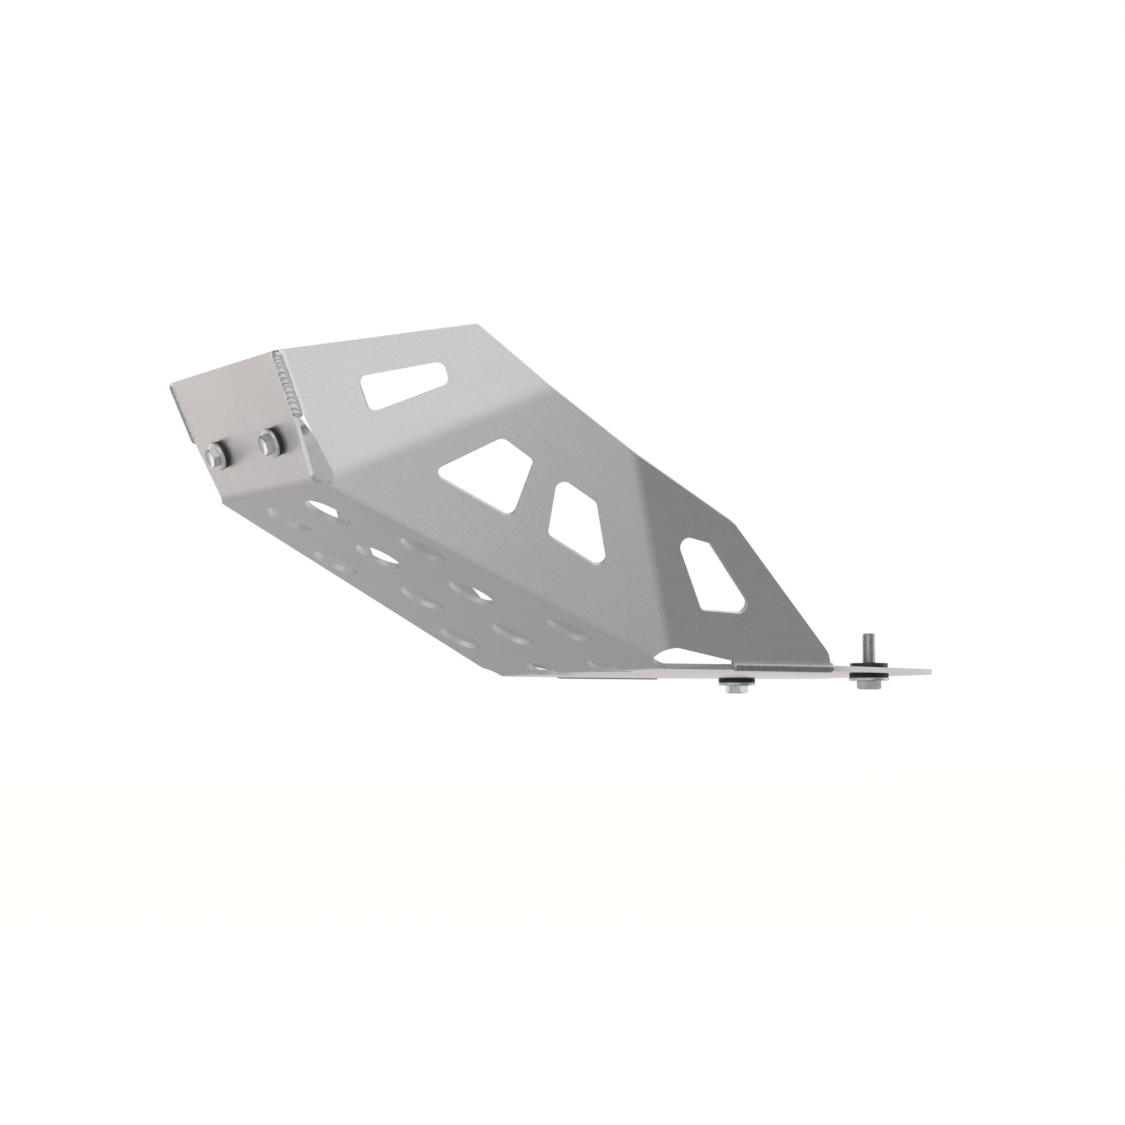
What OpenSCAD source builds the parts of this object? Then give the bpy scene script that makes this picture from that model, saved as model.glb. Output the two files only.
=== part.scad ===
// Motorcycle skid plate: one sheet of aluminium, cut, folded and welded at four corners,
// with the bolts, washers, sleeves and spacers that hold it under the engine.
//
// X runs to the rear of the motorcycle, Y to its right-hand side and Z up. The origin is midway
// between the two rear bolts, level with the upper faces of their spacers, where the plate meets
// the motorcycle. Every panel is drawn by its outer face: the sheet's thickness goes inwards from there.

/* [Sheet] */
// Thickness of the sheet
sheet_t = 4; // [3:0.5:5]
// Inside radius of the folds round the slope
fold_r = 8; // [6:1:10]
// Inside radius of the shallow fold between the upper and the lower side panel
shallow_fold_r = 32; // [24:2:34]
// Inside radius of the upright fold in front of the rear side panel
rear_side_fold_r = 12; // [8:1:14]

/* [Front face and slope] */
// Angle of the slope above the flat part
slope_angle = 26.4; // [25:0.2:28]
// Length of the slope between its two cross folds
slope_len = 278; // [262:1:290]
// Width of the sheet at the front cross fold
front_fold_w = 188; // [180:1:196]
// Width of the sheet at the rear cross fold
rear_fold_w = 276; // [268:1:284]
// Angle of the front face above the flat part
front_angle = 67; // [64:1:70]
// Height of the front face, up its own slope
front_h = 92; // [86:1:98]
// Width of the front face at its top edge
front_top_w = 199; // [192:1:204]

/* [Flat part] */
// Distance from the rear cross fold back to the end of the flat part
flat_len = 261; // [250:1:275]
// Distance from the rear cross fold back to where the flat part starts to taper
taper_start_x = 150; // [146:1:156]
// Width of the flat part where its taper starts
taper_start_w = 253; // [247:1:258]
// Width of the flat part at its rear end
tail_w = 166; // [154:1:176]
// Radius of the two rear corners
tail_corner_r = 8; // [3:1:14]

/* [Side panels] */
// Angle that the lower side panel turns up from the slope
side_fold_angle = 50.5; // [49:0.5:52]
// Angle turned between the front face and the upper side panel
front_corner_angle = 53; // [51.5:0.5:54.5]
// Angle turned between the flat part and the rear side panel
rear_corner_angle = 68; // [66.5:0.5:69.5]
// Length of the level top edge, from the front corner to the start of the long diagonal
top_edge_len = 138; // [130:1:144]
// Angle between the top edge and the shallow fold
top_edge_angle = 14.6; // [13:0.2:16]
// Distance along the rear seam to where the line of the rear edge would meet it
rear_edge_foot = 149; // [146:1:151]
// Angle of the rear edge above the rear seam
rear_edge_angle = 40.6; // [39.5:0.2:42]
// Length of the rear edge, up to the end of the long diagonal
rear_edge_len = 164; // [158:1:170]
// Radius of the corner at the foot of the rear edge
rear_foot_r = 22; // [16:1:26]

/* [Corners and seams] */
// Distance of each cut edge from the sharp corner that the two welded panels would make
seam_gap = 3.5; // [2.5:0.5:4]
// How far the weld bead reaches along each panel from that sharp corner
bead_leg = 4.6; // [4.2:0.2:5.4]
// How far the bead stands out past the sharp corner
bead_crown = 0.3; // [0.1:0.1:0.8]
// Length of the opening below the front weld
front_relief_len = 46; // [40:1:52]
// Width of the front opening at its upper end
front_relief_top_w = 8; // [7:0.5:10]
// Width of the front opening at its lower end
front_relief_foot_w = 22; // [20:0.5:25]
// Radius of the round front end of the rear opening
rear_relief_r = 12; // [11:0.5:13]
// Radius of the narrow rear end of the rear opening
rear_relief_end_r = 4.6; // [3.6:0.2:5.6]
// Distance from the rear cross fold back to the end of the rear opening
rear_relief_len = 54; // [46:1:62]
// Distance along the rear seam to the end of its weld
rear_weld_end = 142; // [138:1:146]

/* [Round holes] */
// Diameter of the round holes in the slope
hole_d = 35; // [28:1:38]
// Number of rows of holes, counted forwards from the rear cross fold
hole_rows = 5; // [3:1:5]
// Distance between the rows
hole_row_pitch = 60.5; // [58:0.5:62]
// Distance between holes in the row on the rear cross fold
hole_pitch = 93; // [90:0.5:95]
// How much closer together the holes are in each row further forwards
hole_pitch_step = 6; // [5:0.5:7]

/* [Windows] */
// Corner radius of the windows
window_r = 6; // [4:0.5:8]
// Height of the upper window's lower edge above the shallow fold
upper_window_base = 29; // [25:1:32]
// Length of the upper window's lower edge
upper_window_len = 58; // [50:1:62]
// Distance from the front end of the shallow fold to the upper window
upper_window_x = 50; // [46:1:56]
// Height of the lower side panel's windows' lower edges above the side fold
lower_window_base = 42; // [38:1:45]
// Distance from the front end of the side fold to the first lower window
lower_window_x = 60; // [56:1:64]
// Length of the first lower window's lower edge
lower_window_len = 66; // [58:1:70]
// Distance between the two lower windows, along their lower edges
lower_window_gap = 27; // [22:1:32]
// Length of the second lower window's lower edge
second_window_len = 51; // [44:1:54]
// Height of the rear window's lower edge above the rear seam
rear_window_base = 42; // [38:1:46]
// Distance along the rear seam to the rear window
rear_window_x = 13; // [8:1:16]
// Length of the rear window's lower edge
rear_window_len = 48; // [42:1:50]

/* [Front bolts] */
// Distance between the two front bolts
front_bolt_pitch = 99; // [94:1:104]
// Height of the front bolts up the front face
front_bolt_h = 33; // [30:1:38]
// Thread diameter of the front bolts
front_bolt_d = 8; // [6:1:8]
// Length of the front bolts under the head
front_bolt_len = 30; // [28:1:40]
// Width of the front bolts' heads across their flats
front_head_w = 13; // [12:0.5:14]
// Height of the front bolts' heads
front_head_h = 5.3; // [4.5:0.1:6]
// Outer diameter of the front washers
front_washer_d = 21; // [20:0.5:24]

/* [Rear bolts] */
// Distance between the two rear bolts
rear_bolt_pitch = 186; // [180:1:190]
// Distance from the rear bolts back to the end of the flat part
rear_bolt_inset = 66; // [60:1:72]
// Thread diameter of the rear bolts
rear_bolt_d = 10; // [8:1:10]
// Length of the rear bolts under the head
rear_bolt_len = 35; // [33:1:45]
// Width of the rear bolts' heads across their flats
rear_head_w = 16; // [15:0.5:17]
// Height of the rear bolts' heads
rear_head_h = 6.4; // [5.5:0.1:7]
// Outer diameter of the rear washers
rear_washer_d = 30; // [26:1:32]

/* [Washers and sleeves] */
// Thickness of the steel washers under the heads
steel_washer_t = 2.2; // [1.6:0.2:3]
// Thickness of the rubber washers outside the sheet
rubber_washer_t = 3.4; // [2.6:0.2:4]
// Thickness of the spacers inside the sheet
spacer_t = 3.4; // [2.6:0.2:4]
// How much smaller the rubber washers are across than the steel ones
rubber_step = 1; // [0:0.5:2]
// How much smaller the spacers are across than the steel washers
spacer_step = 2; // [0:0.5:3]
// Wall thickness of the sleeves round the bolts
sleeve_wall = 2; // [1.2:0.2:2.4]
// Clearance all round a bolt in its washers, sleeve and spacer
bolt_clear = 0.25; // [0.15:0.05:0.4]
// Clearance all round a sleeve in the sheet and the rubber washer
sleeve_clear = 0.25; // [0.15:0.05:0.4]

/* [Hidden] */
$fn = 64;
across = [0, 1, 0];
left = -1;
right = 1;
// Room that a cutter is given past what it cuts
past = 20;

// Directions of the three middle panels, and their normals into the plate's hollow
slope_dir = [-cos(slope_angle), 0, sin(slope_angle)];
front_dir = [-cos(front_angle), 0, sin(front_angle)];
flat_in = [0, 0, 1];
slope_in = [sin(slope_angle), 0, cos(slope_angle)];
front_in = [sin(front_angle), 0, cos(front_angle)];
tail_x = rear_bolt_inset;
flat_z = -sheet_t - spacer_t;
heel = [rear_bolt_inset - flat_len, 0, flat_z];
front_fold_mid = heel + slope_dir * slope_len;

// Sharp corners of the right-hand side, on the outer faces
fold_corner = front_fold_mid + across * front_fold_w / 2;
heel_corner = heel + across * rear_fold_w / 2;
top_corner = front_fold_mid + front_dir * front_h + across * front_top_w / 2;
taper_corner = heel + [taper_start_x, taper_start_w / 2, 0];

// The folds and seams that carry the side panels, and the panels' inward normals
side_fold_dir = unit(heel_corner - fold_corner);
front_seam_dir = unit(top_corner - fold_corner);
rear_seam_dir = unit(taper_corner - heel_corner);
lower_in = turned(slope_in, side_fold_dir, side_fold_angle);
upper_in = turned(front_in, -front_seam_dir, front_corner_angle);
rear_in = turned(flat_in, rear_seam_dir, rear_corner_angle);
shallow_fold_dir = unit(cross(lower_in, upper_in));
upright_fold_dir = unit(cross(rear_in, lower_in));

// A point on each sloping panel, a direction along it, and its normal into the hollow
panels = [
    [front_fold_mid, across, front_in],
    [heel, across, slope_in],
    [fold_corner, shallow_fold_dir, upper_in],
    [fold_corner, side_fold_dir, lower_in],
    [heel_corner, rear_seam_dir, rear_in]
];
// Each fold: where its sharp line starts, its direction, its two panels' normals, radius and length
side_fold_len = norm(heel_corner - fold_corner);
folds = [
    [front_fold_mid - across * front_fold_w / 2, across, slope_in, front_in, fold_r, front_fold_w],
    [heel - across * rear_fold_w / 2, across, flat_in, slope_in, fold_r, rear_fold_w],
    [fold_corner, side_fold_dir, slope_in, lower_in, fold_r, side_fold_len],
    [fold_corner, shallow_fold_dir, lower_in, upper_in, shallow_fold_r, side_fold_len],
    [heel_corner, upright_fold_dir, lower_in, rear_in, rear_side_fold_r, side_fold_len]
];
// The rounding of a fold runs on past the ends of its sharp line
fold_over = 6;
// A round stands out past the flats it joins by a hair, so that the two surfaces cross cleanly
lift = 0.003;
// Size of the block that the plate's form is cut from
reach = 900;

// The long diagonal edge: a plane through the ends of the top edge and the rear edge
top_end = in_panel(fold_corner, shallow_fold_dir, upper_in,
                   from_plane(top_corner - fold_corner, shallow_fold_dir, upper_in)
                   + top_edge_len * [cos(top_edge_angle), -sin(top_edge_angle)]);
rear_end = in_panel(heel_corner, rear_seam_dir, rear_in,
                    [rear_edge_foot - rear_edge_len * cos(rear_edge_angle),
                     rear_edge_len * sin(rear_edge_angle)]);
top_edge_dir = unit(top_end - top_corner);
side_in = unit(upper_in + lower_in + rear_in);
diagonal_dir = unit(rear_end - top_end);
diagonal_out = unit(cross(side_in, diagonal_dir));

// The two openings that keep the folds apart, seen along the mean of the panels they cut
front_relief_in = unit(slope_in + front_in + lower_in + upper_in);
rear_relief_in = unit(slope_in + flat_in + lower_in + rear_in);
front_relief_top_r = 3;
front_relief_foot_r = 4;
front_relief_side_r = 6.5;
// How far past the fold's corner the front opening's two lower corners reach, along the seam
front_relief_reach = [9, 0.5];
// How far both of them are moved towards the side panel
front_relief_shift = 0.5;
rear_relief_back = 3;
// How far a bead starts before the end of its opening, and ends short of the top edge
bead_overlap = 1;
bead_end_gap = 0.5;

// How far each window's corners stand from the front or the rear end of its lower edge, along the
// fold or seam and up from it: lower front, lower rear, upper rear and upper front corner
upper_window_steps = [[0, 0], [0, -1.5], [2, 14], [2, 26]];
first_window_steps = [[0, 1], [0, -0.5], [-10, 45], [29, 49]];
second_window_steps = [[0, 1], [0, -2.5], [-36, 40], [-18, 44]];
rear_window_steps = [[0, 1], [0, -1], [-53, 50], [-37, 56]];
second_window_x = lower_window_x + lower_window_len + lower_window_gap;
upper_window = window_corners(upper_window_x, upper_window_base, upper_window_len, upper_window_steps);
first_window = window_corners(lower_window_x, lower_window_base, lower_window_len, first_window_steps);
second_window = window_corners(second_window_x, lower_window_base, second_window_len, second_window_steps);
rear_window = window_corners(rear_window_x, rear_window_base, rear_window_len, rear_window_steps);

// Bores, sleeves and stacks of washers
front_bore_d = front_bolt_d + 2 * bolt_clear;
front_sleeve_d = front_bore_d + 2 * sleeve_wall;
rear_bore_d = rear_bolt_d + 2 * bolt_clear;
rear_sleeve_d = rear_bore_d + 2 * sleeve_wall;
sleeve_len = sheet_t + rubber_washer_t;
head_out = steel_washer_t + rubber_washer_t;
chamfer_angle = 30;
// The flat end of a head, as a share of its width across the flats
face_share = 0.94;
tip_chamfer = 1;
// The bolts' plain shank is thinner than the thread, which starts just past the spacer
shank_share = 0.9;
thread_gap = 0.5;
thread_start = head_out + sheet_t + spacer_t + thread_gap;
// How far each bolt's hexagon is turned
front_head_turn = [left * 8, right * 17];
rear_head_turn = [left * 8, right * 14];

// Vectors
function unit(v) = v / norm(v);
function turned(v, k, a) = v * cos(a) + cross(k, v) * sin(a) + k * (k * v) * (1 - cos(a));
function fold_angle(a, b) = acos(a * b);
// A panel's own plane: x along it, y up it, z into the hollow
function from_plane(p, x, z) = [p * x, p * cross(z, x)];
function in_panel(o, x, z, p) = o + x * p[0] + cross(z, x) * p[1];
function frame(o, x, z) = let (y = cross(z, x)) [
    [x[0], y[0], z[0], o[0]],
    [x[1], y[1], z[1], o[1]],
    [x[2], y[2], z[2], o[2]],
    [0, 0, 0, 1]
];

// The corners of a window whose lower edge starts at x and stands base above its fold or seam
function window_corners(x, base, length, steps) =
    let (front = [x, base], rear = [x + length, base])
    [front + steps[0], rear + steps[1], rear + steps[2], front + steps[3]];

// Outlines that run anticlockwise
function after(p, i) = p[(i + 1) % len(p)];
function before(p, i) = p[(i + len(p) - 1) % len(p)];
function edge_dir(p, i) = unit(after(p, i) - p[i]);
function leftwards(v) = [-v[1], v[0]];
// Where a corner's round part starts and ends, and the middle of its circle
function half_angle(p, i) = acos(edge_dir(p, i) * unit(before(p, i) - p[i])) / 2;
function round_start(p, r, i) = p[i] + unit(before(p, i) - p[i]) * r[i] / tan(half_angle(p, i));
function round_end(p, r, i) = p[i] + edge_dir(p, i) * r[i] / tan(half_angle(p, i));
function round_mid(p, r, i) = round_end(p, r, i) + leftwards(edge_dir(p, i)) * r[i];

// A convex outline whose corner i has radius r[i]
module rounded(p, r) {
    corners = [0:len(p) - 1];
    polygon([for (i = corners) each r[i] == 0 ? [p[i]] : [round_start(p, r, i), round_end(p, r, i)]]);
    for (i = corners) if (r[i] > 0) translate(round_mid(p, r, i)) circle(r[i] + lift);
}

module window(p) {
    translate([0, 0, -past]) linear_extrude(2 * past) rounded(p, [for (c = p) window_r]);
}

// A solid drawn on a panel's plane
module on_panel(o, x, z) multmatrix(frame(o, x, z)) children();

// Everything on the outer side of a plane that lies a depth inside a panel's outer face
module beyond(panel, depth = 0) {
    on_panel(panel[0], panel[1], panel[2])
        translate([-reach, -reach, depth - reach]) cube([2 * reach, 2 * reach, reach]);
}

// The sharp corner that a fold's round face takes away
module fold_corner_cut(fold, depth) {
    o = fold[0];
    d = fold[1];
    a = fold[2];
    b = fold[3];
    outer = fold[4] + sheet_t;
    half = fold_angle(a, b) / 2;
    out = -unit(a + b);
    wedge = 3 * outer;
    multmatrix(frame(o - out * outer / cos(half), out, d)) translate([0, 0, -fold_over])
        linear_extrude(fold[5] + 2 * fold_over) difference() {
            polygon([[0, 0], wedge * [cos(half), -sin(half)], wedge * [cos(half), sin(half)]]);
            circle(outer - depth + lift);
        }
}

// The solid form between all the panels, with each face a depth inside the sheet's outer face
module form(depth) {
    difference() {
        translate([tail_x + depth - reach, -reach / 2, flat_z + depth])
            cube([reach, reach, top_corner[2] - flat_z + past]);
        for (i = [0:1]) beyond(panels[i], depth);
        both_sides() for (i = [2:4]) beyond(panels[i], depth);
        for (i = [0:1]) fold_corner_cut(folds[i], depth);
        both_sides() for (i = [2:4]) fold_corner_cut(folds[i], depth);
    }
}

// The gap between two panels at a welded corner: each cut edge stands square to its own panel
module seam_cut(o, d, a, b, length) {
    out = -unit(a + b);
    inner_half = 90 - fold_angle(a, b) / 2;
    edge = seam_gap * [-cos(inner_half), sin(inner_half)];
    inwards = 2 * sheet_t * [-sin(inner_half), -cos(inner_half)];
    deep = edge + inwards;
    multmatrix(frame(o, out, d)) translate([0, 0, -fold_over]) linear_extrude(length + 2 * fold_over)
        polygon(deep[1] > 0
            ? [[past, 0], edge, deep, [deep[0], -deep[1]], [edge[0], -edge[1]]]
            : [[past, 0], edge, edge - inwards * edge[1] / inwards[1], [edge[0], -edge[1]]]);
}

// A weld bead: a round crown over a corner, from one distance along the seam to another
module bead(o, d, a, b, from, to) {
    out = -unit(a + b);
    inner_half = 90 - fold_angle(a, b) / 2;
    leg_depth = bead_leg * cos(inner_half);
    depth = (bead_leg * bead_leg - bead_crown * bead_crown) / (2 * (bead_crown + leg_depth));
    r = depth + bead_crown;
    root = sheet_t / sin(inner_half);
    multmatrix(frame(o, out, d)) intersection() {
        translate([-depth, 0, from + r]) {
            cylinder(h = to - from - 2 * r, r = r);
            sphere(r);
            translate([0, 0, to - from - 2 * r]) sphere(r);
        }
        translate([-root, -2 * r, from - past]) cube([2 * r, 4 * r, to - from + 2 * past]);
    }
}

// What lies above the front face's top edge and the two level side edges
module above_top() {
    beyond([top_corner, across, -front_dir]);
    both_sides() beyond([top_corner, top_edge_dir, -cross(upper_in, top_edge_dir)]);
}

// What lies past the long diagonal edge of the right-hand side
module past_diagonal() {
    length = norm(rear_end - top_end) + 3 * past;
    on_panel(top_end, diagonal_dir, diagonal_out) translate([-2 * past, -length / 2, 0]) cube(length);
}

// What lies behind the right-hand rear panel's edge, down to the flat part's inner face
module behind_rear_edge() {
    foot_x = rear_edge_foot - rear_foot_r / sin(rear_edge_angle);
    touch = [foot_x, 0] + rear_foot_r * [sin(rear_edge_angle), cos(rear_edge_angle)];
    top = [rear_edge_foot, 0] + reach * [-cos(rear_edge_angle), sin(rear_edge_angle)];
    difference() {
        on_panel(heel_corner, rear_seam_dir, rear_in) translate([0, 0, -past]) linear_extrude(2 * past)
            difference() {
                polygon([[foot_x, -past], [flat_len + 2 * past, -past], [flat_len + 2 * past, top[1]], top,
                         touch, [foot_x, 0]]);
                translate([foot_x, 0]) circle(rear_foot_r + lift);
            }
        translate([-reach / 2, -reach / 2, flat_z + sheet_t - reach]) cube(reach);
    }
}

// What lies outside the flat part's tapering end
module outside_tail() {
    start = taper_corner[0];
    half_start = taper_start_w / 2;
    half_tail = tail_w / 2;
    slope_out = (half_start - half_tail) / (tail_x - start);
    translate([0, 0, -past]) linear_extrude(2 * past) difference() {
        translate([start, -reach / 2]) square([reach / 2, reach]);
        rounded([[start - past, -half_start - past * slope_out], [tail_x, -half_tail],
                 [tail_x, half_tail], [start - past, half_start + past * slope_out]],
                [0, tail_corner_r, tail_corner_r, 0]);
    }
}

module front_relief() {
    seam = front_seam_dir - front_relief_in * (front_seam_dir * front_relief_in);
    foot = front_relief_foot_w / 2;
    top = front_relief_top_w / 2;
    on_panel(fold_corner, unit(seam), front_relief_in)
        translate([0, 0, -past]) linear_extrude(2 * past) rounded(
            [[front_relief_len, -top], [front_relief_len, top],
             [-front_relief_reach[1], foot - front_relief_shift],
             [-front_relief_reach[0], -foot - front_relief_shift]],
            [front_relief_top_r, front_relief_top_r, front_relief_foot_r, front_relief_side_r]);
}

module rear_relief() {
    seam = rear_seam_dir - rear_relief_in * (rear_seam_dir * rear_relief_in);
    run = rear_relief_len - rear_relief_end_r + rear_relief_back;
    lean = asin((rear_relief_r - rear_relief_end_r) / run);
    normal = [sin(lean), cos(lean)];
    on_panel(heel_corner, unit(seam), rear_relief_in) translate([-rear_relief_back, 0, -past])
        linear_extrude(2 * past) {
            circle(rear_relief_r + lift);
            translate([run, 0]) circle(rear_relief_end_r + lift);
            polygon([rear_relief_r * [normal[0], -normal[1]],
                     [run, 0] + rear_relief_end_r * [normal[0], -normal[1]],
                     [run, 0] + rear_relief_end_r * normal,
                     rear_relief_r * normal]);
        }
}

module both_sides() {
    children();
    mirror([0, 1, 0]) children();
}

module round_holes() {
    for (row = [0:hole_rows - 1]) {
        pitch = hole_pitch - row * hole_pitch_step;
        // Rows of two and of three holes take turns, and the row on the fold faces both panels
        places = row % 2 == 0 ? [-0.5, 0.5] : [-1, 0, 1];
        facing = row == 0 ? unit(slope_in + flat_in) : slope_in;
        for (place = places)
            on_panel(heel + slope_dir * row * hole_row_pitch + across * place * pitch, across, facing)
                translate([0, 0, -past]) cylinder(h = 2 * past, d = hole_d);
    }
}

// Places of the bolts: the origin is on the sheet's outer face and z runs out of the bolt's head
module at_front_bolt(side) {
    o = front_fold_mid + front_dir * front_bolt_h + across * side * front_bolt_pitch / 2;
    multmatrix(frame(o, across, -front_in)) children();
}

module at_rear_bolt(side) {
    multmatrix(frame([0, side * rear_bolt_pitch / 2, flat_z], across, -flat_in)) children();
}

module bolt_bores() {
    for (side = [left, right]) {
        at_front_bolt(side) translate([0, 0, -past])
            cylinder(h = 2 * past, d = front_sleeve_d + 2 * sleeve_clear);
        at_rear_bolt(side) translate([0, 0, -past])
            cylinder(h = 2 * past, d = rear_sleeve_d + 2 * sleeve_clear);
    }
}

module weld_beads() {
    bead(fold_corner, front_seam_dir, front_in, upper_in,
         front_relief_len - bead_overlap, norm(top_corner - fold_corner) - bead_end_gap);
    bead(heel_corner, rear_seam_dir, flat_in, rear_in, rear_relief_len - bead_overlap, rear_weld_end);
}

module seams() {
    seam_cut(fold_corner, front_seam_dir, front_in, upper_in, norm(top_corner - fold_corner));
    seam_cut(heel_corner, rear_seam_dir, flat_in, rear_in, flat_len);
}

module windows() {
    on_panel(fold_corner, shallow_fold_dir, upper_in) window(upper_window);
    on_panel(fold_corner, side_fold_dir, lower_in) {
        window(first_window);
        window(second_window);
    }
    on_panel(heel_corner, rear_seam_dir, rear_in) window(rear_window);
}

module sheet() {
    difference() {
        form(0);
        form(sheet_t);
        above_top();
        outside_tail();
        both_sides() {
            past_diagonal();
            behind_rear_edge();
            seams();
            front_relief();
            rear_relief();
            windows();
        }
        round_holes();
        bolt_bores();
    }
}

module skid_plate() {
    color([0.78, 0.77, 0.76]) union() {
        sheet();
        both_sides() weld_beads();
    }
}

// A hexagon head whose corners are turned off, and a thin shank with a chamfered threaded end
module hex_bolt(d, length, head_w, head_h, turn) {
    shank_r = d / 2 * shank_share;
    corner_r = head_w / 2 / cos(30);
    face_r = head_w / 2 * face_share;
    cone_r = corner_r + tip_chamfer;
    cone_h = (cone_r - face_r) * tan(chamfer_angle);
    translate([0, 0, head_out]) {
        intersection() {
            rotate([0, 0, turn]) cylinder(h = head_h, r = corner_r, $fn = 6);
            rotate_extrude() polygon([[0, 0], [cone_r, 0], [cone_r, head_h - cone_h], [face_r, head_h],
                                      [0, head_h]]);
        }
        rotate_extrude() polygon([[0, 0], [0, -length], [d / 2 - tip_chamfer, -length],
                                  [d / 2, tip_chamfer - length], [d / 2, -thread_start],
                                  [shank_r, d / 2 - shank_r - thread_start], [shank_r, 0]]);
    }
}

module ring(outer_d, inner_d, h) {
    difference() {
        cylinder(h = h, d = outer_d);
        translate([0, 0, -past]) cylinder(h = h + 2 * past, d = inner_d);
    }
}

module front_bolt(side) {
    color([0.80, 0.81, 0.82]) at_front_bolt(side)
        hex_bolt(front_bolt_d, front_bolt_len, front_head_w, front_head_h,
                 side == left ? front_head_turn[0] : front_head_turn[1]);
}

module rear_bolt(side) {
    color([0.72, 0.73, 0.74]) at_rear_bolt(side)
        hex_bolt(rear_bolt_d, rear_bolt_len, rear_head_w, rear_head_h,
                 side == left ? rear_head_turn[0] : rear_head_turn[1]);
}

module steel_washer(outer_d, bore_d) {
    color([0.76, 0.77, 0.78]) translate([0, 0, rubber_washer_t]) ring(outer_d, bore_d, steel_washer_t);
}

module rubber_washer(outer_d, sleeve_d) {
    color([0.06, 0.06, 0.06]) ring(outer_d, sleeve_d + 2 * sleeve_clear, rubber_washer_t);
}

module sleeve(sleeve_d, bore_d) {
    color([0.70, 0.71, 0.72]) translate([0, 0, -sheet_t]) ring(sleeve_d, bore_d, sleeve_len);
}

module spacer(outer_d, bore_d) {
    color([0.16, 0.17, 0.18]) translate([0, 0, -sheet_t - spacer_t]) ring(outer_d, bore_d, spacer_t);
}

module front_steel_washer(side) at_front_bolt(side) steel_washer(front_washer_d, front_bore_d);
module front_rubber_washer(side) at_front_bolt(side)
    rubber_washer(front_washer_d - rubber_step, front_sleeve_d);
module front_sleeve(side) at_front_bolt(side) sleeve(front_sleeve_d, front_bore_d);
module front_spacer(side) at_front_bolt(side) spacer(front_washer_d - spacer_step, front_bore_d);
module rear_steel_washer(side) at_rear_bolt(side) steel_washer(rear_washer_d, rear_bore_d);
module rear_rubber_washer(side) at_rear_bolt(side)
    rubber_washer(rear_washer_d - rubber_step, rear_sleeve_d);
module rear_sleeve(side) at_rear_bolt(side) sleeve(rear_sleeve_d, rear_bore_d);
module rear_spacer(side) at_rear_bolt(side) spacer(rear_washer_d - spacer_step, rear_bore_d);

skid_plate();
front_bolt(left);  // front_bolt_left
front_bolt(right);  // front_bolt_right
front_steel_washer(left);  // front_steel_washer_left
front_steel_washer(right);  // front_steel_washer_right
front_rubber_washer(left);  // front_rubber_washer_left
front_rubber_washer(right);  // front_rubber_washer_right
front_sleeve(left);  // front_sleeve_left
front_sleeve(right);  // front_sleeve_right
front_spacer(left);  // front_spacer_left
front_spacer(right);  // front_spacer_right
rear_bolt(left);  // rear_bolt_left
rear_bolt(right);  // rear_bolt_right
rear_steel_washer(left);  // rear_steel_washer_left
rear_steel_washer(right);  // rear_steel_washer_right
rear_rubber_washer(left);  // rear_rubber_washer_left
rear_rubber_washer(right);  // rear_rubber_washer_right
rear_sleeve(left);  // rear_sleeve_left
rear_sleeve(right);  // rear_sleeve_right
rear_spacer(left);  // rear_spacer_left
rear_spacer(right);  // rear_spacer_right
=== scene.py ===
"""The looks of a folded aluminium skid plate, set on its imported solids. Lengths are in metres."""
import bpy
import bmesh
import math
import random
from mathutils import Matrix, Vector
from mathutils.bvhtree import BVHTree


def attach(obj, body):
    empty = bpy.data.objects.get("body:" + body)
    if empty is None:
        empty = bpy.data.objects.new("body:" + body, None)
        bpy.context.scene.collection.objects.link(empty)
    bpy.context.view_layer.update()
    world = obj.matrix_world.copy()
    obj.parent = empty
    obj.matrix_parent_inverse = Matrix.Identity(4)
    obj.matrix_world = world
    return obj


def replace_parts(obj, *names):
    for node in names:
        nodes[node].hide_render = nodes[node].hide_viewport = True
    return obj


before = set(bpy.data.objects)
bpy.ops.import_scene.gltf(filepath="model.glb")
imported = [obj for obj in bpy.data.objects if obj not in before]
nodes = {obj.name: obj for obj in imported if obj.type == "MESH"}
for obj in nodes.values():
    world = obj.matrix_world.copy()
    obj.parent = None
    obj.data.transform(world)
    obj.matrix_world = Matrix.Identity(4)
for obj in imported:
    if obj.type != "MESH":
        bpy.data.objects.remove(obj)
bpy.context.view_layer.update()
MM = 0.001
ACROSS = Vector((0, 1, 0))


# The plate's panels, folds and seams. Sizes are those of the part's source, in mm and degrees

sheet_t = 4
flat_z = -7.4
flat_len, rear_bolt_inset = 261, 66
slope_len, slope_angle = 278, 26.4
front_h, front_angle = 92, 67
front_fold_w, rear_fold_w, front_top_w = 188, 276, 199
taper_start_x, taper_start_w = 150, 253
side_fold_angle, front_corner_angle, rear_corner_angle = 50.5, 53, 68


def turned(v, axis, degrees):
    return Matrix.Rotation(math.radians(degrees), 3, axis) @ v


def in_profile(degrees):
    """The direction forwards and up a panel at this angle to the level, and its normal inwards."""
    a = math.radians(degrees)
    return Vector((-math.cos(a), 0, math.sin(a))), Vector((math.sin(a), 0, math.cos(a)))


def other_side(v):
    return Vector((v.x, -v.y, v.z))


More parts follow.
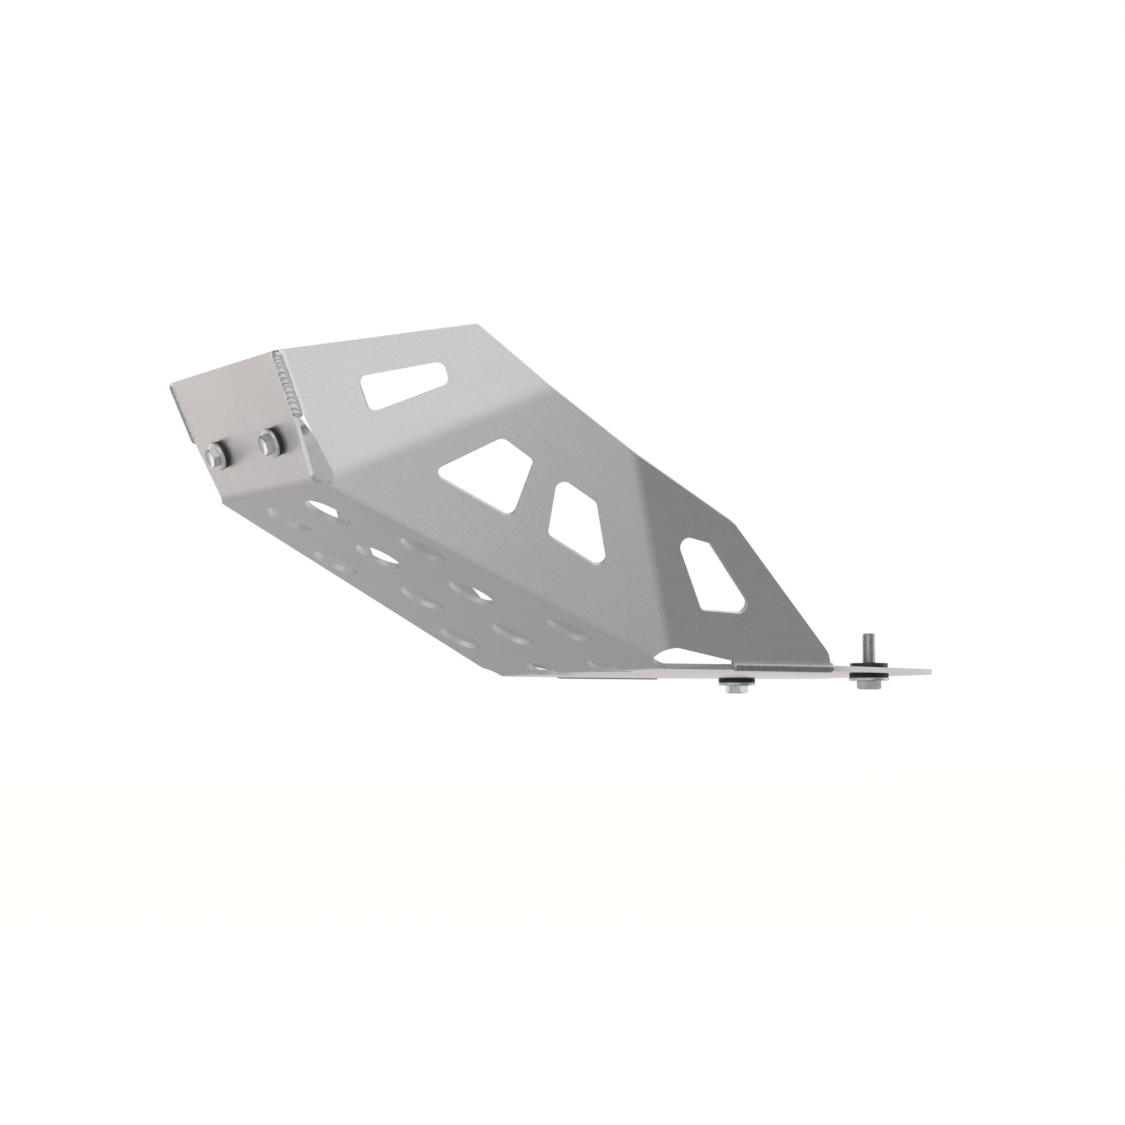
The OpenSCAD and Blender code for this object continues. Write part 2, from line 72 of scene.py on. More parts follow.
slope_dir, slope_in = in_profile(slope_angle)
front_dir, front_in = in_profile(front_angle)
flat_in = Vector((0, 0, 1))
heel = Vector(((rear_bolt_inset - flat_len) * MM, 0, flat_z * MM))
front_fold = heel + slope_dir * slope_len * MM
fold_corner = front_fold + ACROSS * (front_fold_w / 2) * MM
heel_corner = heel + ACROSS * (rear_fold_w / 2) * MM
top_corner = front_fold + front_dir * front_h * MM + ACROSS * (front_top_w / 2) * MM
taper_corner = heel + Vector((taper_start_x, taper_start_w / 2, 0)) * MM
side_fold_dir = (heel_corner - fold_corner).normalized()
front_seam_dir = (top_corner - fold_corner).normalized()
rear_seam_dir = (taper_corner - heel_corner).normalized()
lower_in = turned(slope_in, side_fold_dir, side_fold_angle)
upper_in = turned(front_in, -front_seam_dir, front_corner_angle)
rear_in = turned(flat_in, rear_seam_dir, rear_corner_angle)


# Small helpers for places and meshes

def axes_at(origin, x, y, z):
    """A place with its own axes along x, y and z."""
    place = Matrix((x, y, z)).transposed().to_4x4()
    place.translation = origin
    return place


def new_piece(name, bm, materials, smooth_angle=32):
    """A finished mesh as one piece of the object."""
    mesh = bpy.data.meshes.new(name)
    bm.normal_update()
    bm.to_mesh(mesh)
    bm.free()
    for material in materials:
        mesh.materials.append(material)
    mesh.shade_smooth()
    mesh.set_sharp_from_angle(angle=math.radians(smooth_angle))
    piece = bpy.data.objects.new(name, mesh)
    bpy.context.scene.collection.objects.link(piece)
    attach(piece, "root")
    return piece


def ring_of(bm, points):
    return [bm.verts.new(p) for p in points]


def bridge(bm, a, b):
    """A band of faces between two rings with the same number of points."""
    n = len(a)
    for i in range(n):
        bm.faces.new((a[i], a[(i + 1) % n], b[(i + 1) % n], b[i]))


def turn_on_lathe(profile, place, steps=72):
    """A closed profile of (radius, height) corners in mm, turned round the axis and set in place."""
    bm = bmesh.new()
    rings = []
    for r, h in profile:
        angles = [2 * math.pi * i / steps for i in range(steps)]
        rings.append(ring_of(bm, [place @ Vector((r * MM * math.cos(a), r * MM * math.sin(a), h * MM))
                                  for a in angles]))
    for a, b in zip(rings, rings[1:] + rings[:1]):
        bridge(bm, a, b)
    bmesh.ops.recalc_face_normals(bm, faces=bm.faces)
    return bm


def rounded_ring(inner, outer, low, high, r, bulge=0.0):
    """The profile of a washer with its four corners rounded to r, and a bulge on its outer face."""
    corner_steps, bulge_steps = 3, 4
    corners = [(inner + r, low + r, 180), (outer - r, low + r, 270),
               (outer - r, high - r, 0), (inner + r, high - r, 90)]
    profile = []
    for k, (x, y, first) in enumerate(corners):
        for i in range(corner_steps + 1):
            a = math.radians(first + 90 * i / corner_steps)
            profile.append((x + r * math.cos(a), y + r * math.sin(a)))
        if k == 1 and bulge:
            y0, y1 = low + r, high - r
            for i in range(1, bulge_steps):
                profile.append((outer + bulge * math.sin(math.pi * i / bulge_steps),
                                y0 + (y1 - y0) * i / bulge_steps))
    return profile


# Small helpers for nodes

def wire(tree, value, socket):
    """Another node's output is linked to a socket, and a plain value is written on it."""
    if isinstance(value, bpy.types.NodeSocket):
        tree.links.new(value, socket)
    else:
        socket.default_value = value


def math_node(tree, operation, *values, clamp=False):
    node = tree.nodes.new("ShaderNodeMath")
    node.operation = operation
    node.use_clamp = clamp
    for value, socket in zip(values, node.inputs):
        wire(tree, value, socket)
    return node.outputs[0]


def vector_node(tree, operation, *values):
    node = tree.nodes.new("ShaderNodeVectorMath")
    node.operation = operation
    for value, socket in zip(values, node.inputs):
        wire(tree, value, socket)
    return node.outputs["Value" if operation in ("DOT_PRODUCT", "LENGTH") else "Vector"]


def split(tree, vector):
    node = tree.nodes.new("ShaderNodeSeparateXYZ")
    wire(tree, vector, node.inputs[0])
    return node.outputs


def joined(tree, x, y, z):
    node = tree.nodes.new("ShaderNodeCombineXYZ")
    for value, socket in zip((x, y, z), node.inputs):
        wire(tree, value, socket)
    return node.outputs[0]


def noise(tree, vector, scale, detail, roughness=0.55, distortion=0.0):
    node = tree.nodes.new("ShaderNodeTexNoise")
    for label, value in (("Vector", vector), ("Scale", scale), ("Detail", detail),
                         ("Roughness", roughness), ("Distortion", distortion)):
        wire(tree, value, node.inputs[label])
    return node.outputs["Fac"]


def spread(tree, value, low, high, to_low=0.0, to_high=1.0):
    """A value from low to high becomes one from to_low to to_high, and stays between them."""
    node = tree.nodes.new("ShaderNodeMapRange")
    for label, v in (("Value", value), ("From Min", low), ("From Max", high), ("To Min", to_low),
                     ("To Max", to_high)):
        wire(tree, v, node.inputs[label])
    return node.outputs["Result"]


# Effects that several finishes share, each a node group of its own

def new_group(name, output, vectors=("Vector",), **numbers):
    """A group with vectors and numbers in and one number out: the group, its inputs and its output."""
    group = bpy.data.node_groups.new(name, "ShaderNodeTree")
    for label in vectors:
        group.interface.new_socket(name=label, in_out="INPUT", socket_type="NodeSocketVector")
    for label, value in numbers.items():
        socket = group.interface.new_socket(name=label, in_out="INPUT", socket_type="NodeSocketFloat")
        socket.default_value = value
    group.interface.new_socket(name=output, in_out="OUTPUT", socket_type="NodeSocketFloat")
    given, put_out = group.nodes.new("NodeGroupInput"), group.nodes.new("NodeGroupOutput")
    return group, given.outputs, put_out.inputs[output]


def rolled_grain_group():
    """Fine lines that the rolls leave in sheet metal: long one way and close together the other."""
    g, given, grain = new_group("Rolled grain", "Grain", Along=40.0, Across=900.0)
    stretch = joined(g, given["Along"], given["Across"], given["Across"])
    lines = noise(g, vector_node(g, "MULTIPLY", given["Vector"], stretch), 1.0, 4.0, 0.7)
    wire(g, spread(g, lines, 0.32, 0.68), grain)
    return g


def handling_marks_group():
    """Soft cloudy patches where the metal was handled and wiped."""
    g, given, marks = new_group("Handling marks", "Marks", Size=9.0, Contrast=0.5)
    clouds = noise(g, given["Vector"], given["Size"], 5.0, 0.6, 0.4)
    gain = math_node(g, "MULTIPLY", given["Contrast"], 4.0)
    wider = math_node(g, "MULTIPLY", math_node(g, "SUBTRACT", clouds, 0.5), gain)
    wire(g, math_node(g, "ADD", wider, 0.5, clamp=True), marks)
    return g


def satin_speckle_group():
    """The fine even speckle of a satin metal face."""
    g, given, speckle = new_group("Satin speckle", "Speckle", Scale=900.0)
    wire(g, spread(g, noise(g, given["Vector"], given["Scale"], 2.0, 0.6), 0.3, 0.7), speckle)
    return g


def hairline_scratches_group():
    """A few thin scratches in two directions, each kept to its own patches."""
    g, given, scratches = new_group("Hairline scratches", "Scratches", Scale=30.0, Amount=0.5)
    line_width = 0.006
    masks = []
    for angle, centre in ((0.35, 0.031), (-0.9, 0.077)):
        turn = g.nodes.new("ShaderNodeVectorRotate")
        turn.rotation_type = "Z_AXIS"
        wire(g, angle, turn.inputs["Angle"])
        wire(g, (centre, 0, 0), turn.inputs["Center"])
        wire(g, given["Vector"], turn.inputs["Vector"])
        here = turn.outputs["Vector"]
        along = vector_node(g, "MULTIPLY", here, (0.6, 34.0, 34.0))
        level = noise(g, along, given["Scale"], 1.0, 0.5, 0.15)
        near = math_node(g, "ABSOLUTE", math_node(g, "SUBTRACT", level, 0.5))
        thin = spread(g, near, 0.0, line_width, 1.0, 0.0)
        patch = spread(g, noise(g, here, 22.0, 2.0), 0.52, 0.66)
        masks.append(math_node(g, "MULTIPLY", thin, patch))
    wire(g, math_node(g, "MULTIPLY", math_node(g, "MAXIMUM", *masks), given["Amount"]), scratches)
    return g


def beside_weld_group():
    """The pale strip that welding leaves beside a seam from a corner, on both sides of the plate."""
    g, given, strip = new_group("Beside a weld", "Strip", ("Vector", "Corner", "Along"),
                                Near=0.005, Far=0.009, Start=0.05, End=0.1)
    fade = 7 * MM
    x, y, z = split(g, given["Vector"])
    away = vector_node(g, "SUBTRACT", joined(g, x, math_node(g, "ABSOLUTE", y), z), given["Corner"])
    run = vector_node(g, "DOT_PRODUCT", away, given["Along"])
    distance = vector_node(g, "LENGTH", vector_node(g, "CROSS_PRODUCT", away, given["Along"]))
    near = spread(g, distance, given["Near"], given["Far"], 1.0, 0.0)
    started = spread(g, run, given["Start"], math_node(g, "ADD", given["Start"], fade))
    ended = spread(g, run, math_node(g, "SUBTRACT", given["End"], fade), given["End"], 1.0, 0.0)
    wire(g, math_node(g, "MULTIPLY", near, math_node(g, "MULTIPLY", started, ended)), strip)
    return g


rolled_grain = rolled_grain_group()
handling_marks = handling_marks_group()
satin_speckle = satin_speckle_group()
hairline_scratches = hairline_scratches_group()
beside_weld = beside_weld_group()


class Finish:
    """A material's node tree, with its Principled BSDF and short words for what is placed in it."""

    def __init__(self, name, colour, metallic, roughness):
        self.material = bpy.data.materials.new(name)
        self.material.use_nodes = True
        self.material.diffuse_color = (*colour, 1)
        self.tree = self.material.node_tree
        self.shader = self.tree.nodes["Principled BSDF"]
        for label, value in (("Base Color", (*colour, 1)), ("Metallic", metallic),
                             ("Roughness", roughness)):
            wire(self.tree, value, self.shader.inputs[label])

    def place(self, group, vector, **values):
        node = self.tree.nodes.new("ShaderNodeGroup")
        node.node_tree = group
        wire(self.tree, vector, node.inputs["Vector"])
        for label, value in values.items():
            wire(self.tree, value, node.inputs[label])
        return node.outputs[0]

    def position(self):
        return self.tree.nodes.new("ShaderNodeTexCoord").outputs["Object"]

    def attribute(self, name, output):
        node = self.tree.nodes.new("ShaderNodeAttribute")
        node.attribute_name = name
        return node.outputs[output]

    def share(self, mask, amount):
        return math_node(self.tree, "MULTIPLY", mask, amount)

    def add_share(self, mask, amount, base):
        return math_node(self.tree, "MULTIPLY_ADD", mask, amount, base)

    def blend(self, mask, a, b):
        """Colour a where the mask is 0 and colour b where it is 1."""
        mix = self.tree.nodes.new("ShaderNodeMix")
        mix.data_type = "RGBA"
        wire(self.tree, mask, mix.inputs["Factor"])
        for label, colour in (("A", a), ("B", b)):
            wire(self.tree, (*colour, 1) if isinstance(colour, tuple) else colour, mix.inputs[label])
        return mix.outputs["Result"]

    def done(self, colour, roughness, height=None, depth_mm=0.0, strength=1.0):
        """The colour, the roughness and a relief reach the shader, and the material is ready."""
        wire(self.tree, colour, self.shader.inputs["Base Color"])
        wire(self.tree, roughness, self.shader.inputs["Roughness"])
        if height is not None:
            bump = self.tree.nodes.new("ShaderNodeBump")
            for label, value in (("Distance", depth_mm * MM), ("Strength", strength),
                                 ("Height", height)):
                wire(self.tree, value, bump.inputs[label])
            wire(self.tree, bump.outputs["Normal"], self.shader.inputs["Normal"])
        return self.material


# Finishes

def satin_sheet():
    f = Finish("satin_aluminium_sheet", (0.80, 0.79, 0.785), metallic=0.88, roughness=0.42)
    on_panel = f.attribute("on_panel", "Vector")
    marks = f.place(handling_marks, on_panel, Size=14.0, Contrast=0.55)
    broad = f.place(handling_marks, on_panel, Size=4.0, Contrast=0.45)
    grain = f.place(rolled_grain, on_panel, Along=45.0, Across=620.0)
    speckle = f.place(satin_speckle, on_panel, Scale=750.0)
    scratches = f.place(hairline_scratches, on_panel, Scale=26.0, Amount=0.35)
    tone = f.blend(marks, (0.805, 0.770, 0.772), (0.86, 0.823, 0.827))
    tone = f.blend(f.share(speckle, 0.42), tone, (0.58, 0.57, 0.565))
    tone = f.blend(f.share(grain, 0.26), tone, (0.97, 0.965, 0.96))
    tone = f.blend(f.share(scratches, 0.6), tone, (0.93, 0.93, 0.93))
    here = f.position()
    for corner, along, start, end in ((fold_corner, front_seam_dir, 40, 101),
                                      (heel_corner, rear_seam_dir, 48, 146)):
        strip = f.place(beside_weld, here, Corner=corner, Along=along, Near=5.5 * MM, Far=8.0 * MM,
                        Start=start * MM, End=end * MM)
        tone = f.blend(f.share(strip, 0.75), tone, (0.98, 0.98, 0.98))
    rough = f.add_share(grain, 0.07, f.add_share(broad, 0.10, 0.29))
    rough = math_node(f.tree, "SUBTRACT", rough, f.share(scratches, 0.15), clamp=True)
    return f.done(tone, rough, f.add_share(speckle, 0.5, grain), 0.06, 0.8)


def cut_edge():
    f = Finish("bright_cut_edge", (0.90, 0.90, 0.895), metallic=0.6, roughness=0.40)
    grain = f.place(rolled_grain, f.position(), Along=700.0, Across=700.0)
    tone = f.blend(grain, (0.88, 0.875, 0.87), (0.97, 0.965, 0.96))
    return f.done(tone, f.add_share(grain, 0.16, 0.38), grain, 0.03, 0.4)


def weld_metal():
    f = Finish("weld_metal", (0.62, 0.615, 0.61), metallic=0.65, roughness=0.32)
    here = f.position()
    marks = f.place(handling_marks, here, Size=160.0, Contrast=0.5)
    speckle = f.place(satin_speckle, here, Scale=1400.0)
    bright = f.blend(marks, (0.84, 0.835, 0.83), (0.97, 0.965, 0.96))
    # Dark where the attribute is low: oxide in the ripples' valleys, plus painted shade and a painted
    # toe shadow
    tone = f.blend(f.attribute("tone_and_shade", "Fac"), (0.20, 0.196, 0.192), bright)
    return f.done(tone, f.add_share(marks, 0.15, 0.26), speckle, 0.04, 0.4)


def bright_zinc():
    f = Finish("bright_zinc", (0.68, 0.695, 0.705), metallic=1.0, roughness=0.22)
    here = f.position()
    marks = f.place(handling_marks, here, Size=200.0, Contrast=0.45)
    speckle = f.place(satin_speckle, here, Scale=2600.0)
    tone = f.blend(marks, (0.60, 0.615, 0.625), (0.76, 0.77, 0.775))
    return f.done(tone, f.add_share(marks, 0.10, 0.17), speckle, 0.01, 0.25)


def dull_zinc():
    f = Finish("dull_zinc", (0.72, 0.73, 0.735), metallic=1.0, roughness=0.32)
    here = f.position()
    marks = f.place(handling_marks, here, Size=180.0, Contrast=0.7)
    scratches = f.place(hairline_scratches, here, Scale=120.0, Amount=0.6)
    tone = f.blend(marks, (0.60, 0.615, 0.625), (0.78, 0.79, 0.795))
    tone = f.blend(scratches, tone, (0.9, 0.9, 0.9))
    return f.done(tone, f.add_share(marks, 0.18, 0.24), marks, 0.02, 0.3)


def black_rubber():
    f = Finish("black_rubber", (0.028, 0.028, 0.029), metallic=0.0, roughness=0.62)
    here = f.position()
    marks = f.place(handling_marks, here, Size=140.0, Contrast=0.8)
    speckle = f.place(satin_speckle, here, Scale=1900.0)
    tone = f.blend(marks, (0.018, 0.018, 0.019), (0.045, 0.045, 0.046))
    return f.done(tone, f.add_share(speckle, 0.2, 0.5), speckle, 0.05, 0.5)


def turned_steel():
    f = Finish("turned_steel", (0.68, 0.685, 0.69), metallic=1.0, roughness=0.30)
    grain = f.place(rolled_grain, f.position(), Along=1300.0, Across=1300.0)
    tone = f.blend(grain, (0.60, 0.605, 0.61), (0.74, 0.745, 0.75))
    return f.done(tone, f.add_share(grain, 0.18, 0.22))


def dark_paint():
    f = Finish("dark_spacer_paint", (0.035, 0.037, 0.040), metallic=0.0, roughness=0.26)
    here = f.position()
    marks = f.place(handling_marks, here, Size=120.0, Contrast=0.6)
    speckle = f.place(satin_speckle, here, Scale=900.0)
    tone = f.blend(marks, (0.025, 0.027, 0.030), (0.052, 0.054, 0.058))
    return f.done(tone, f.add_share(speckle, 0.14, 0.20), speckle, 0.03, 0.4)


sheet_finish = satin_sheet()
edge_finish = cut_edge()
weld_finish = weld_metal()
bolt_finish = bright_zinc()
washer_finish = dull_zinc()
rubber_finish = black_rubber()
sleeve_finish = turned_steel()
spacer_finish = dark_paint()


# The folded sheet

def draw_back_thin_points(bm):
    """The thin point past the end of each rear seam goes back into its bead."""
    near, point_len = 0.01 * MM, 9.75 * MM
    for v in bm.verts:
        if abs(v.co.x - taper_corner.x) < near and abs(v.co.y) > taper_corner.y - near:
            back = rear_seam_dir * point_len
            v.co -= back if v.co.y > 0 else other_side(back)


def mark_cut_edges(bm):
    """A face with no more than the sheet's thickness behind it is rolled, and any other one is cut."""
    tree = BVHTree.FromBMesh(bm)
    step_in, most = 0.01 * MM, 1.12 * sheet_t * MM
    for face in bm.faces:
        start = face.calc_center_median() - face.normal * step_in
        behind = tree.ray_cast(start, -face.normal)[3]
        face.material_index = 0 if behind is None or behind < most else 1


def break_edges(sheet):
    """Sharp edges get a narrow bright bevel, and the broad faces keep even shading."""
    bevel = sheet.modifiers.new("broken_edges", "BEVEL")
    bevel.width = 0.35 * MM
    bevel.segments = 2
    bevel.limit_method = "ANGLE"
    bevel.angle_limit = math.radians(50)
    bevel.use_clamp_overlap = True
    bevel.material = 1
    even = sheet.modifiers.new("even_shading", "WEIGHTED_NORMAL")
    even.keep_sharp = True
    even.weight = 80
    depsgraph = bpy.context.evaluated_depsgraph_get()
    finished = bpy.data.meshes.new_from_object(sheet.evaluated_get(depsgraph), depsgraph=depsgraph)
    sheet.modifiers.clear()
    sheet.data = finished


def grain_frames():
    """Each panel's inward normal and the direction that the rolled grain runs in on it."""
    frames = [(flat_in, Vector((1, 0, 0))), (slope_in, -slope_dir), (front_in, -front_dir)]
    for n, d in ((lower_in, side_fold_dir), (upper_in, side_fold_dir), (rear_in, rear_seam_dir)):
        for m, e in ((n, d), (other_side(n), other_side(d))):
            frames.append((m, (e - m * e.dot(m)).normalized()))
    return frames


def lay_grain(mesh):
    """Each corner of a face gets its place on its own panel: along the grain, across it, through."""
    between_panels, through_share = 0.37, 0.2
    on_panel = mesh.attributes.new("on_panel", "FLOAT_VECTOR", "CORNER")
    frames = grain_frames()
    for face in mesh.polygons:
        n, along = max(frames, key=lambda f: abs(f[0].dot(face.normal)))
        up = n.cross(along)
        offset = between_panels * frames.index((n, along))
        for corner in face.loop_indices:
            p = mesh.vertices[mesh.loops[corner].vertex_index].co
            on_panel.data[corner].vector = (p.dot(along) + offset, p.dot(up), p.dot(n) * through_share)


def folded_sheet():
    bm = bmesh.new()
    bm.from_mesh(nodes["skid_plate"].data)
    bmesh.ops.remove_doubles(bm, verts=bm.verts, dist=0.002 * MM)
    draw_back_thin_points(bm)
    bm.normal_update()
    mark_cut_edges(bm)
    bmesh.ops.dissolve_limit(bm, angle_limit=math.radians(0.4), verts=bm.verts, edges=bm.edges,
                             delimit={"MATERIAL"})
    sheet = new_piece("folded_sheet", bm, [sheet_finish, edge_finish], 34)
    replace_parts(sheet, "skid_plate")
    break_edges(sheet)
    lay_grain(sheet.data)


folded_sheet()


# The welds, in mm along their seams

bead_leg, bead_crown = 4.6, 0.3
bead_overlap, bead_end_gap = 1, 0.5
front_relief_len, rear_relief_len = 46, 54
rear_weld_end = 142
start_lap, end_lap = 0.4, 0.2


def drops_of_filler(rng, start, end):
    """Where each drop starts, and how it leans, widens and rises and how pale its valley is."""
    starts, z = [], start - 2.0
    while z < end + 3:
        starts.append(z)
        z += rng.uniform(2.1, 4.9)
    ranges = ((-0.9, 0.9), (-0.35, 0.40), (0.55, 1.3), (0.0, 0.35))
    return starts, *[[rng.uniform(low, high) for _ in starts] for low, high in ranges]


def rippled_weld(name, corner, along, in_a, in_b, start, end, swell, painted_shade_tone, valley, pale_from,
                 seed):
    """A weld bead over a seam: a round crown with the curved ripples that the drops of filler leave."""
    out = -(in_a + in_b).normalized()
    side = along.cross(out)
    if side.dot(in_b) < 0:
        side = -side
    half = math.acos(max(-1, min(1, in_a.dot(in_b)))) / 2
    leg_depth = bead_leg * math.sin(half)
    depth = (bead_leg * bead_leg - bead_crown * bead_crown) / (2 * (bead_crown + leg_depth))
    r = depth + bead_crown
    toe = math.acos((depth - leg_depth) / r)
    back = -0.55 * sheet_t / math.cos(half)
    starts, lean, wide, high, pale = drops_of_filler(random.Random(seed), start, end)

    def ripple(z, t):
        """Height over a smooth crown, and brightness, for t from -1 on panel b to 1 on panel a."""
        arch, arch_lead = 3.8, 1.6
        toe_shadow_at, toe_shadow_width = 0.74, 0.20
        at = z + arch * t * t - arch_lead
        for k in range(len(starts) - 1):
            a, b = starts[k] + lean[k] * t, starts[k + 1] + lean[k + 1] * t
            if a <= at < b:
                u = (at - a) / (b - a)
                height = high[k] * 0.34 * math.sin(math.pi * u ** 0.7) + wide[k] * 0.35 * t * t
                tone_and_shade = max(pale[k], min(1, u / 0.34)) * (1 - 0.28 * u * u)
                # Painted shade: this tone darkens the whole bead, most on the rear beads that face down
                tone_and_shade = painted_shade_tone * (1 - valley * (1 - tone_and_shade))
                # Painted shadow: a dark line along the bead near its toe on panel a
                tone_and_shade *= 1 - 0.85 * max(0, 1 - abs(t - toe_shadow_at) / toe_shadow_width)
                bare = (pale_from + 0.14 * math.sin(math.pi * u) - t) / 0.3
                return swell * height, max(tone_and_shade, min(1, bare))
        return 0.0, painted_shade_tone

    steps_round, step_along = 26, 0.26
    tip_share, past_toe = 0.35, 1.05
    count = int((end - start) / step_along)
    bm = bmesh.new()
    # A tone per point: darker in the ripples' valleys, with painted shade laid over it
    tone_and_shade_layer = bm.verts.layers.float.new("tone_and_shade")
    rings = []
    for k in range(count + 1):
        z = start + (end - start) * k / count
        near_end = min(z - start, end - z)
        taper = math.sqrt(max(0.0, 1 - (1 - min(1, near_end / (r * 0.9))) ** 2))
        points, tones_and_shade = [], []
        for i in range(steps_round + 1):
            t = -1 + 2 * i / steps_round
            a = t * toe * past_toe
            height, tone_and_shade = ripple(z, t)
            here_r = (r + height) * (tip_share + (1 - tip_share) * taper)
            x, y = -depth + here_r * math.cos(a), here_r * math.sin(a)
            points.append(corner + (out * x + side * y + along * z) * MM)
            tones_and_shade.append(tone_and_shade)
        for y in (bead_leg / 2, -bead_leg / 2):
            points.append(corner + (out * back + side * y + along * z) * MM)
        rings.append(ring_of(bm, points))
        for vertex, tone_and_shade in zip(rings[-1], tones_and_shade):
            vertex[tone_and_shade_layer] = tone_and_shade
    for a, b in zip(rings, rings[1:]):
        bridge(bm, a, b)
    for ring in (rings[0], rings[-1]):
        bm.faces.new(ring)
    bmesh.ops.recalc_face_normals(bm, faces=bm.faces)
    new_piece(name, bm, [weld_finish], 60)


front_ends = (front_relief_len - bead_overlap - start_lap,
              (top_corner - fold_corner).length / MM - bead_end_gap)
rear_ends = (rear_relief_len - bead_overlap - start_lap, rear_weld_end + end_lap)
# Painted shade: the rear beads face down and are darkened, the left ones more than the right
for side_name, mirror, seed, rear_painted_shade_tone in (("right", Vector.copy, 5, 0.8),
                                           ("left", other_side, 11, 0.4)):
    rippled_weld("front_weld_" + side_name, mirror(fold_corner), mirror(front_seam_dir), front_in,
                 mirror(upper_in), *front_ends,
                 swell=1.0, painted_shade_tone=1.0, valley=1.0, pale_from=-0.5, seed=seed)
    rippled_weld("rear_weld_" + side_name, mirror(heel_corner), mirror(rear_seam_dir), flat_in,
                 mirror(rear_in), *rear_ends,
                 swell=0.25, painted_shade_tone=rear_painted_shade_tone, valley=0.55, pale_from=-0.6, seed=seed + 1)


# Bolts with their washers, sleeves and spacers, in mm

head_steps, shank_steps = 96, 48
front_bolt_pitch, front_bolt_h, rear_bolt_pitch = 99, 33, 186
front_bolt = dict(d=8, pitch=1.25, length=30, head_w=13, head_h=5.3, washer_d=21)
rear_bolt = dict(d=10, pitch=1.5, length=35, head_w=16, head_h=6.4, washer_d=30)


def set_in_place(bm, points, seat, place):
    return ring_of(bm, [place @ (Vector((x, y, z + seat)) * MM) for x, y, z in points])


def hexagon_head(bm, width, height, turn, seat, place):
    """A head with its corners turned off and a shallow hollow in its end. Returns its lowest ring."""
    flat = width / 2
    face_r = flat * 0.94
    foot_h, foot_share = 0.35, 0.97
    hollow_share, hollow_depth = 0.93, 0.12
    low, foot, high, top = [], [], [], []
    for i in range(head_steps):
        degrees = i * 360 / head_steps
        r = flat / math.cos(math.radians(degrees % 60 - 30))
        phi = math.radians(degrees) + math.radians(turn)
        z = height - (r - face_r) * math.tan(math.radians(30))
        c, s = math.cos(phi), math.sin(phi)
        foot.append((r * c * foot_share, r * s * foot_share, 0.0))
        low.append((r * c, r * s, foot_h))
        high.append((r * c, r * s, z))
        top.append((face_r * c, face_r * s, height))
    hollow = [(x * hollow_share, y * hollow_share, height - hollow_depth) for x, y, _ in top]
    rings = [set_in_place(bm, points, seat, place) for points in (foot, low, high, top, hollow)]
    for a, b in zip(rings, rings[1:]):
        bridge(bm, a, b)
    bm.faces.new(rings[-1])
    return rings[0]


def threaded_shank(bm, d, pitch, length, seat, place):
    """A helical thread that runs out under the head and has a chamfered end. Returns its first ring."""
    rows_per_turn = 10
    depth, run_in = 0.613 * pitch, 1.2 * pitch
    worn, root_share, slope_share = 0.04, 0.12, 0.76
    chamfer = 1.0
    rows = int(length / pitch * rows_per_turn)
    rings = []
    for k in range(rows + 1):
        z = -length * k / rows
        end = length + z
        points = []
        for i in range(shank_steps):
            u = (k / rows_per_turn + i / shank_steps) % 1
            tooth = 1 - abs(2 * u - 1)
            cut = min(1, max(0, (tooth - root_share) / slope_share))
            r = d / 2 - worn - depth * (1 - cut) * min(1, -z / run_in)
            r = min(r, d / 2 - chamfer + end) if end < chamfer else r
            a = 2 * math.pi * i / shank_steps
            points.append((r * math.cos(a), r * math.sin(a), z))
        rings.append(set_in_place(bm, points, seat, place))
    for a, b in zip(rings, rings[1:]):
        bridge(bm, a, b)
    bm.faces.new(rings[-1])
    return rings[0]


def hexagon_bolt(d, pitch, length, head_w, head_h, turn, seat, place):
    bm = bmesh.new()
    outer = hexagon_head(bm, head_w, head_h, turn, seat, place)
    inner = threaded_shank(bm, d, pitch, length, seat, place)
    # The underside of the head is a ring of faces with more points outside than inside
    for i in range(head_steps):
        a, b = i * shank_steps // head_steps, (i + 1) * shank_steps // head_steps % shank_steps
        inside = (inner[a],) if a == b else (inner[b], inner[a])
        bm.faces.new((outer[i], outer[(i + 1) % head_steps], *inside))
    bmesh.ops.recalc_face_normals(bm, faces=bm.faces)
    return bm


def bolt_stack(end, side, origin, out, turn, d, pitch, length, head_w, head_h, washer_d):
    """One bolt with everything on it. The origin is on the sheet's outer face, and out is headwards."""
    steel_t, rubber_t, spacer_t = 2.2, 3.4, 3.4
    clear, sleeve_wall = 0.25, 2.0
    washer_r = washer_d / 2
    rubber_r, rubber_bulge, spacer_r = washer_r - 0.7, 0.4, washer_r - 1
    bore = d / 2 + clear
    sleeve_r = bore + sleeve_wall
    place = axes_at(origin, ACROSS, out.cross(ACROSS), out)

    def put(what, bm, finish, slot, angle=32):
        node = end + "_" + what + "_" + side
        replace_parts(new_piece(node + "_piece", bm, [finish], angle), node)

    def put_ring(what, ring, *rest):
        put(what, turn_on_lathe(rounded_ring(*ring), place), *rest)

    put("bolt", hexagon_bolt(d, pitch, length, head_w, head_h, turn, steel_t + rubber_t, place),
        bolt_finish, "bright_zinc", 24)
    put_ring("steel_washer", (bore, washer_r, rubber_t, rubber_t + steel_t, 0.35),
             washer_finish, "washer_steel")
    put_ring("rubber_washer", (sleeve_r + clear, rubber_r, 0, rubber_t, 0.5, rubber_bulge),
             rubber_finish, "black_rubber", 60)
    put_ring("sleeve", (bore, sleeve_r, -sheet_t, rubber_t, 0.2),
             sleeve_finish, "sleeve_steel")
    put_ring("spacer", (bore, spacer_r, -sheet_t - spacer_t, -sheet_t, 0.5),
             spacer_finish, "dark_spacer")


